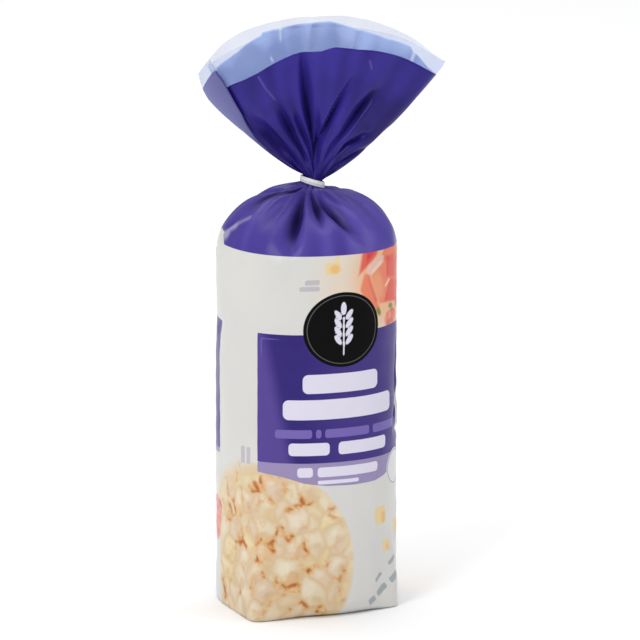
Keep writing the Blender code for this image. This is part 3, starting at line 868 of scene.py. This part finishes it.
# The inks of the food pictures in the order in which they are laid, how soft their edges
# are, in millimetres, and how strong they are.
FOOD_INKS = (
    ("glow", (230, 208, 180), 9, 0.6),
    ("peach", (238, 184, 138), 8, 0.9),
    ("cheese", (233, 206, 148), 0.8, 0.9),
    ("cheese_side", (232, 182, 110), 1.2, 0.8),
    ("cut_fruit", (234, 134, 104), 0.8, 1),
    ("red_parts", (224, 84, 72), 1.2, 0.9),
    ("deep_red", (206, 54, 66), 1.4, 0.85),
    ("flesh", (236, 162, 124), 2, 0.9),
    ("shine", (232, 190, 176), 0.5, 1),
    ("streak", (240, 214, 188), 0.5, 0.85),
)
# How many of the cake's grains lie along a metre, and the film's gloss.
GRAIN_SCALE = 88
FILM_GLOSS = 0.19


def cake_picture(finish):
    """The printed cake: puffed grains as soft cells, lit from the upper left and tinted
    cream, pink or yellow each, with tan seams and small brown gaps where cells meet. It is
    given a painted shade that grows towards the bag's base."""
    place = finish.place()
    warp = finish.node("ShaderNodeTexNoise", "Color", {"Vector": place, "Scale": 70, "Detail": 1})
    pushed = finish.node(
        "ShaderNodeVectorMath", 0, {0: warp, 1: [0.009] * 3, 2: place}, operation="MULTIPLY_ADD")
    shifted = finish.node(
        "ShaderNodeVectorMath", 0, {0: pushed, 1: [-0.0014, 0.0005, 0.0018]}, operation="ADD")

    def cells(output, source=pushed, scale=GRAIN_SCALE, **settings):
        values = {"Vector": source, "Scale": scale}
        return finish.node("ShaderNodeTexVoronoi", output, values, **settings)

    def both(first, second):
        """The product of two spans."""
        return finish.maths("MULTIPLY", finish.span(*first), finish.span(*second))

    tints = finish.node("ShaderNodeSeparateColor", 0, {"Color": cells("Color")}).node.outputs
    # The height above the base, for the painted shade near the base.
    height = finish.node("ShaderNodeSeparateXYZ", "Z", {0: place})
    here = cells("Distance", feature="SMOOTH_F1")
    there = cells("Distance", shifted, feature="SMOOTH_F1")
    slope = finish.maths("SUBTRACT", there, here)
    edge = cells("Distance", feature="DISTANCE_TO_EDGE")
    small = cells("Distance", scale=210, feature="DISTANCE_TO_EDGE")
    patches = finish.noise(120, 2)
    return finish.inks(
        (225, 211, 182),
        ((220, 197, 172), tints[0], 0.1, 0.9),
        ((230, 211, 154), tints[1], 0.6, 0.95, 0, 0.55),
        ((201, 167, 125), slope, -0.02, -0.16, 0, 0.55),
        ((235, 226, 206), slope, 0.03, 0.16, 0, 0.5),
        ((211, 177, 131), edge, 0, 0.20, 0.55, 0),
        ((215, 160, 97), both((edge, 0.02, 0.24, 0.9, 0), (patches, 0.51, 0.62))),
        ((221, 172, 112), patches, 0.50, 0.68, 0, 0.45),
        ((176, 98, 50), both((edge, 0.02, 0.13, 1, 0), (patches, 0.57, 0.66))),
        ((202, 154, 106), both((small, 0, 0.12, 0.15, 0), (patches, 0.44, 0.56))),
        ((226, 210, 173), finish.field("cake"), -6, -0.8, 0, 0.5),
        # painted shade, growing towards the bag's base
        ((182, 146, 106), height, 0.002, 0.042, 0.16, 0))


def printed_film():
    """The printed film: white, with fields of ink laid over it one after the other. Each
    field is on where its signed distance is below zero."""
    finish = Finish("printed_film")

    def lay(under, name, ink, soft=0.14, strength=1):
        return finish.inks(under, (ink, finish.field(name), -soft, soft, strength, 0))

    def ring(under, name, inset, ink, narrow, wide, strength):
        """A thin line inside a field's edge."""
        away = finish.maths("ABSOLUTE", finish.maths("ADD", finish.field(name), inset))
        return finish.inks(under, (ink, away, narrow, wide, strength, 0))

    colour = finish.inks(WHITE_FILM, ((213, 212, 209), finish.noise(26, 2), 0.35, 0.65))
    for name, ink, soft, strength in FOOD_INKS:
        colour = lay(colour, name, ink, soft, strength)
    fruit = finish.inks((204, 66, 62), ((236, 128, 110), finish.noise(240, 2), 0.40, 0.60))
    colour = lay(colour, "fruit", fruit, 0.8, 0.8)
    colour = lay(colour, "leaves", (120, 142, 76), 0.6)
    colour = lay(colour, "cake", cake_picture(finish), 1.3)
    colour = lay(colour, "band", BAND_INK)
    # The panel's ink, lighter where its painted reflection is.
    colour = lay(colour, "panel", finish.mix(finish.field("light"), PANEL_INK, PANEL_REFLECTION_INK))
    colour = lay(colour, "faint", FAINT_INK)
    line = finish.span(finish.maths("ABSOLUTE", finish.field("line")), 0.15, 0.55, 0.55, 0)
    corner = finish.span(finish.field("corner"), -3, 3, 1, 0)
    colour = finish.mix(finish.maths("MULTIPLY", line, corner), colour, FAINT_INK)
    colour = lay(colour, "marks", (150, 160, 164), strength=0.8)
    colour = lay(colour, "seal", (222, 222, 224))
    colour = ring(colour, "seal", 1, (158, 160, 168), 0.35, 0.65, 0.75)
    colour = lay(colour, "grey", GREY_INK)
    colour = lay(colour, "disc", DISC_INK)
    colour = ring(colour, "disc", 1.9, (150, 148, 142), 0.10, 0.34, 0.35)
    colour = lay(colour, "pale", PALE_INK)
    colour = lay(colour, "sprig", PALE_INK)
    # The painted shade of the dome's folds; it also dulls their gloss.
    fold = finish.field("fold")
    dome = finish.inks(
        DOME_INK,
        # stripes along the film, with painted light and shade by side
        (DOME_LIGHT_INK, finish.field("streaks_and_painted_light"), 0.2, 0.8),
        # painted shade in the folds
        (SHADE_INK, fold, 0.1, 0.9, 0, 0.88))
    # Painted glints of glossy wrinkles.
    dome = lay(dome, "painted_glint", (186, 182, 202), 2.6, 0.66)
    finish.set(Base_Color=lay(colour, "dome", dome))
    on_disc = finish.span(finish.field("disc"), -0.14, 0.14, 1, 0)
    finish_of_film(finish, finish.maths("MAXIMUM", fold, on_disc))
    return finish.material


def finish_of_film(finish, dull=None):
    """The film's gloss: soft reflections broken by fine crinkles. It has less of them
    where a share of dullness is given."""
    finish.set(Roughness=0.30, Specular_IOR_Level=FILM_GLOSS, IOR=1.47)
    if dull is not None:
        finish.set(Specular_IOR_Level=finish.span(dull, 0, 0.8, FILM_GLOSS, 0.03))
    crinkle = finish.bump(finish.noise(150, 4, 0.55, (1, 1, 0.6), 0.6), 0.16, 0.0006)
    finish.set(Normal=finish.bump(finish.noise(620, 2), 0.08, 0.0002, crinkle))


def frill_film():
    """The frill's film from outside: dome ink, a little deeper, in stripes along the film,
    lighter towards the cut edge, with painted light and shade by side, painted shade in
    the folds, painted light on the turned end and painted glints along small wrinkles."""
    finish = Finish("frill_film")
    # Stripes along the film, lighter towards the cut edge, with painted light and shade by side.
    tone = finish.maths("ADD", finish.noise(34, 2), finish.field("streaks_and_painted_light"))
    fold = finish.field("fold")
    finish.set(Base_Color=finish.inks(
        (34, 22, 100),
        ((56, 44, 144), tone, 0.7, 1.35),
        # painted shade in the folds
        ((44, 40, 96), fold, 0.15, 0.95, 0, 0.35),
        # painted shade where the frill is only shaded
        (SHADE_INK, finish.field("painted_shade"), 0.1, 0.9, 0, 0.7),
        # painted light on the turned end of the overlapping pleat
        ((126, 128, 176), finish.field("painted_facet_light"), 0, 1, 0, 0.9),
        # painted glints along small wrinkles
        ((122, 112, 186), finish.field("painted_glint"), 0, 0.8, 0.28, 0)))
    finish_of_film(finish, fold)
    return finish.material


def frill_lining():
    """The frill's film from inside: the ink's pale blue back, in stripes along the film, with
    painted light and shade by side, painted shade deeper down inside the frill and in its
    creases, and painted glints along small wrinkles."""
    finish = Finish("frill_lining")
    # Stripes along the film, with painted light and shade by side and painted shade deeper down inside the
    # frill.
    tone = finish.maths("ADD", finish.noise(42), finish.field("streaks_and_painted_light"))
    finish.set(Base_Color=finish.inks(
        (138, 155, 204),
        ((184, 205, 250), tone, 0.82, 1.22),
        # painted shade in the lining's creases
        ((116, 126, 180), finish.field("fold"), 0.1, 0.5, 0, 0.4),
        # painted glints along small wrinkles
        ((232, 238, 252), finish.field("painted_glint"), 0, 0.8, 0.8, 0)))
    finish_of_film(finish)
    return finish.material


def clear_film():
    """The film past the ink's edge: milky and see-through."""
    finish = Finish("clear_film")
    colour = finish.inks((158, 180, 232), ((186, 204, 242), finish.noise(60), 0.3, 0.7))
    finish.set(Base_Color=colour, Alpha=0.17)
    finish_of_film(finish)
    return finish.material


def tie_strip():
    """The white strip of the tie: soft plastic, with a faint ribbing along it."""
    finish = Finish("tie_strip")
    colour = finish.inks((243, 243, 241), ((233, 233, 231), finish.noise(300), 0.3, 0.7))
    ribs = finish.noise(900, 2, 0.5, (1, 1, 0.1))
    finish.set(Base_Color=colour, Roughness=0.45, Normal=finish.bump(ribs, 0.15, 0.0002))
    return finish.material


def around(count):
    """Even turns round the bag, as one row."""
    return np.linspace(-180, 180, count, endpoint=False)[None, :]


def shares_of(count, start=0):
    """Even shares from a start up to 1, as one column."""
    return np.linspace(start, 1, count)[:, None]


def make_body():
    """The film from the middle of the base up to the neck, as one grid. Each row has its
    place along the film in millimetres, which the print is drawn in."""
    turns = around(AROUND)
    floor = np.zeros((1, 1))
    rounding = base_rounding(turns)
    foot_radius = wall_radius(turns, floor) - rounding
    shares = np.linspace(BASE_FROM, 1, BASE_ROWS, endpoint=False)[:, None]
    quarter = shares_of(EDGE_ROWS) * math.pi / 2
    lift = rounding * (1 - np.cos(quarter))
    z = rounding + (SHOULDER_Z - rounding) * shares_of(WALL_ROWS + 1)[1:] ** WALL_ROW_POWER
    out = 1 - shares_of(DOME_ROWS + 1)[1:] ** DOME_ROW_POWER
    neck_z = NECK_FOOT_Z + NECK_LENGTH * 0.6 * shares_of(NECK_ROWS + 1)[1:]
    points = np.concatenate([
        ring_points(turns, foot_radius * shares, floor),
        ring_points(turns, wall_radius(turns, lift) - rounding * (1 - np.sin(quarter)), lift),
        ring_points(turns, wall_radius(turns, z) + wall_relief(turns, z), z),
        dome_points(turns, out),
        neck_points(turns, neck_z)])
    angle = (1 - out) * math.pi / 2
    outline = np.hstack([np.cos(angle) * WALL_HALF_WIDTH, np.sin(angle) * DOME_RISE])
    steps = np.diff(np.vstack([[WALL_HALF_WIDTH, 0], outline]), axis=0)
    arc = np.cumsum(np.hypot(*steps.T))[:, None]
    neck = np.full((NECK_ROWS, 1), PRINT_NECK)
    heights = (PRINT_BASE + foot_radius * shares, lift, z, SHOULDER_Z + arc, neck)
    height = np.concatenate([np.broadcast_to(part, (len(part), AROUND)) for part in heights]) * 1000
    body = film_object("film_body", points)
    for name, values in print_fields(np.broadcast_to(turns, height.shape), height).items():
        store(body, name, np.clip(values, -30, 30))
    dome = slice(-NECK_ROWS - DOME_ROWS, -NECK_ROWS)
    shade, streaks_and_painted_light = np.zeros(height.shape), np.full(height.shape, 0.5)
    # The painted shade of the dome's folds and of its shaded places, which also dulls the gloss.
    shade[dome] = fold_shade(turns, out, DOME_FOLDS + DOME_SHADES)
    # Stripes along the film, with painted light and shade by side.
    streaks_and_painted_light[dome] += np.interp(turns, DOME_LIGHT_TURNS, DOME_PAINTED_LIGHT) + ripples(turns, out, *DOME_STREAKS)
    store(body, "fold", shade)
    store(body, "streaks_and_painted_light", streaks_and_painted_light)
    body.data.materials.append(printed_film())
    return body


def make_frill():
    """The printed film above the tie: its outside going up to the ink's edge, then its
    inside coming down again to a small foot above the neck."""
    turns = around(FRILL_AROUND)
    steps = shares_of(FRILL_ROWS) ** FRILL_ROW_POWER
    out = ink_edge(turns) * steps
    outer = frill_points(np.broadcast_to(turns, out.shape), out)
    inner = outer - grid_normals(outer) * PRINTED_FILM
    hollow = int(np.argmax(steps[:, 0] > HOLLOW_FROM))
    middle = inner[hollow].mean(axis=0)
    foot = middle + (inner[hollow] - middle) * 0.45 - np.array([0, 0, 0.003])
    start = neck_points(turns, np.full((1, 1), NECK_FOOT_Z + NECK_LENGTH * 0.45))
    points = np.concatenate([start, outer, inner[hollow:][::-1], foot[None]])
    frill = film_object("film_frill", points)
    # The painted shade of the frill's folds, which also dulls their gloss.
    shade = fold_shade(turns, out, FRILL_FOLDS)
    # Painted shade only, where the frill has no fold in its shape.
    painted_shade = fold_shade(turns, out, FRILL_SHADES)
    past_pleat = turn_gap(turns, np.interp(out, PLEAT_SHARES, PLEAT_TURNS))
    # Painted light on the overlapping pleat's outside.
    painted_facet_light = np.interp(past_pleat, FACET_GAPS, FACET_PAINTED_LIGHT) * smooth_step((out - 0.08) / 0.5)
    # Stripes along the film, lighter towards the cut edge, with painted light and shade by side.
    streaks_and_painted_light = 0.5 + ripples(turns, out, *FRILL_STREAKS) + 0.4 * (out - 0.6)
    streaks_and_painted_light = streaks_and_painted_light + np.interp(turns, FRILL_LIGHT_TURNS, FRILL_PAINTED_LIGHT)
    up = out * FRILL_REACH * 1000
    for name, values, lining in (
            ("fold", shade, shade), ("painted_shade", painted_shade, painted_shade * 0), ("painted_facet_light", painted_facet_light, painted_facet_light),
            # on the lining, painted shade deeper down inside the frill
            ("streaks_and_painted_light", streaks_and_painted_light, streaks_and_painted_light + 2.6 * (out - 0.93)),
            # painted glints on the outside and on the lining
            ("painted_glint", nearest(turns, up, FRILL_PAINTED_GLINTS), nearest(turns, up, LINING_PAINTED_GLINTS))):
        store(frill, name, np.concatenate([values[:1], values, lining[hollow:][::-1], values[:1]]))
    frill.data.materials.append(frill_film())
    frill.data.materials.append(frill_lining())
    rows = np.arange(len(points) - 1) >= FRILL_ROWS + 1
    slots = np.repeat([*rows, False, True], FRILL_AROUND).astype(np.int32)
    frill.data.polygons.foreach_set("material_index", slots)
    return frill


def make_margin():
    """The clear film between the ink's edge and the cut edge, as a thin closed band. Its
    foot is inside the printed film."""
    turns = around(FRILL_AROUND)
    low = ink_edge(turns) - INK_OVERLAP
    out = low + (1 - low) * shares_of(MARGIN_ROWS)
    sheet = frill_points(np.broadcast_to(turns, out.shape), out)
    normals = grid_normals(sheet)
    outer = sheet - normals * (PRINTED_FILM - CLEAR_FILM) / 2
    inner = outer - normals * CLEAR_FILM
    margin = film_object("film_margin", np.concatenate([outer, inner[::-1]]), wrap=True)
    margin.data.materials.append(clear_film())
    return margin


def strip_along(path, sides, width, thickness):
    """A flat strip carried along a path: at each point its cross-section is a flat oval
    with a round rib for the wire in its middle, turned so that its width lies along the
    side directions given."""
    forward = np.gradient(path, axis=0)
    forward /= np.linalg.norm(forward, axis=1, keepdims=True)
    sides = sides - forward * np.sum(sides * forward, axis=1, keepdims=True)
    sides /= np.linalg.norm(sides, axis=1, keepdims=True)
    flat = np.cross(sides, forward)
    angle = np.linspace(0, 2 * math.pi, 28, endpoint=False)
    across = np.cos(angle)
    rib = np.exp(-((across / 0.22) ** 2))
    lift = np.sign(np.sin(angle)) * np.abs(np.sin(angle)) ** 0.6
    half = thickness * (0.26 + 0.24 * rib)
    points = path[:, None] + sides[:, None] * (across * width / 2)[:, None]
    return points + flat[:, None] * (lift * half)[:, None]


def make_tie():
    """The twist tie: one strip that comes in from its first end, winds with its other
    half through the twist, goes once round the neck, and winds back to its second end."""
    heading, droop, spread = (math.radians(turn) for turn in (TAIL_TURN, TAIL_DROOP, TAIL_END_SPREAD))
    away = np.array([math.sin(heading), -math.cos(heading), 0])
    tail = away * math.cos(droop) - np.array([0, 0, math.sin(droop)])
    beside = np.array([math.cos(heading), math.sin(heading), 0])
    over = np.cross(tail, beside)

    def wound(sign):
        """One half of the twist and its free end, from the neck outwards, and the strip's
        side directions there."""
        share = np.linspace(0, 1, 40)
        angle = share * TWISTS * 2 * math.pi + (0 if sign > 0 else math.pi)
        radial = beside * np.cos(angle)[:, None] + over * np.sin(angle)[:, None]
        line = away * TAIL_START + tail * (share * TWIST_LENGTH)[:, None] + radial * TWIST_RADIUS
        line = line + beside * (sign * TWIST_START_SPREAD * (1 - smooth_step(share * 5)))[:, None]
        side = np.cross(np.broadcast_to(tail, radial.shape), radial)
        ends = np.linspace(0, 1, 16)[1:, None]
        aim = tail * math.cos(spread) + beside * math.sin(spread) * sign
        out_line = line[-1] + aim * ends * TAIL_END_LENGTH + over * TAIL_END_LIFT * sign * ends
        flat_side = beside * math.cos(spread) - tail * math.sin(spread) * sign
        blend = smooth_step(ends * 3)
        out_side = side[-1] * (1 - blend) + flat_side * np.sign(side[-1] @ flat_side) * blend
        return np.vstack([line, out_line]), np.vstack([side, out_side])

    left_line, left_side = wound(-1)
    right_line, right_side = wound(1)
    gap = math.degrees(LOOP_OPENING / TIE_LOOP_RADIUS)
    loop_turns = np.radians(np.linspace(TAIL_TURN + gap, TAIL_TURN + 360 - gap, 120))
    loop = np.stack([np.sin(loop_turns), -np.cos(loop_turns), loop_turns * 0], axis=1) * TIE_LOOP_RADIUS
    upright = np.broadcast_to([0, 0, 1], loop.shape)
    path = np.vstack([left_line[:0:-1], loop[::-1], right_line[1:]])
    sides = np.vstack([-left_side[:0:-1], upright, right_side[1:]])
    points = strip_along(path, sides, TIE_WIDTH, TIE_THICKNESS)
    points[..., 2] += NECK_SLANT * points[..., 0]
    points += np.array([*NECK_CENTRE, NECK_FOOT_Z + NECK_LENGTH / 2])
    tie = film_object("twist_tie", points)
    tie.data.materials.append(tie_strip())
    return tie


def make_floor():
    """A wide pale floor."""
    angle = np.linspace(0, 2 * math.pi, 96, endpoint=False)
    rim = np.stack([14 * np.cos(angle), 14 * np.sin(angle), np.full(96, -0.0002)], axis=1)
    mesh = bpy.data.meshes.new("floor")
    mesh.from_pydata(rim.tolist(), [], [list(range(96))])
    floor = add_object("floor", mesh)
    finish = Finish("floor_paint")
    finish.set(Base_Color=[0.93, 0.93, 0.935, 1], Roughness=0.9, Specular_IOR_Level=0.1)
    floor.data.materials.append(finish.material)


def area_light(name, place, target, width, tall, power):
    lamp = bpy.data.lights.new(name, "AREA")
    lamp.shape = "RECTANGLE"
    lamp.size, lamp.size_y = width, tall
    lamp.energy = power
    add_object(name, lamp, place, Vector(target) - Vector(place))


def light_the_scene():
    """Soft studio light: a pale room, a broad light from the front left and above, a
    weaker one from the right, and one from above."""
    world = bpy.data.worlds.new("studio")
    bpy.context.scene.world = world
    world.use_nodes = True
    background = world.node_tree.nodes["Background"]
    background.inputs["Color"].default_value = (0.97, 0.98, 1, 1)
    background.inputs["Strength"].default_value = 0.24
    area_light("left_softbox", (-1.9, -1.5, 1.5), (0, 0, 0.16), 1, 1.4, 30)
    area_light("right_softbox", (1.7, -1.1, 1), (0, 0, 0.16), 0.8, 1.4, 9)
    area_light("top_softbox", (0, 1.2, 3.6), (0, 1.2, 0), 4.5, 5, 165)
    bpy.context.scene.view_settings.view_transform = "Standard"


def set_camera():
    """The camera at the photo's angle: from the front left and a little above, from far
    away, with 320 pixels of half frame at 0.5444 mm each."""
    azimuth, elevation, distance = math.radians(-20), math.radians(12.3), 4
    pixel = 0.5444e-3
    back = Vector((math.sin(azimuth), -math.cos(azimuth), 0)) * math.cos(elevation)
    back.z = math.sin(elevation)
    right = Vector((math.cos(azimuth), math.sin(azimuth), 0))
    aim = Vector((0, 0, 0.1552)) + right * (14 * pixel)
    camera = add_object("camera", bpy.data.cameras.new("camera"), aim + back * distance, -back)
    camera.data.lens = 36 / (2 * (320 * pixel) / distance)
    camera.data.clip_end = 100
    bpy.context.scene.camera = camera


def main():
    body = make_body()
    frill = make_frill()
    margin = make_margin()
    tie = make_tie()
    for piece, slot in ((body, "film"), (frill, "film"), (margin, "film"), (tie, "strip")):
        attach(piece, "root")
    for piece in (body, frill, margin):
        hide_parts("bag")
    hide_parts("tie")
    make_floor()
    light_the_scene()
    set_camera()


main()
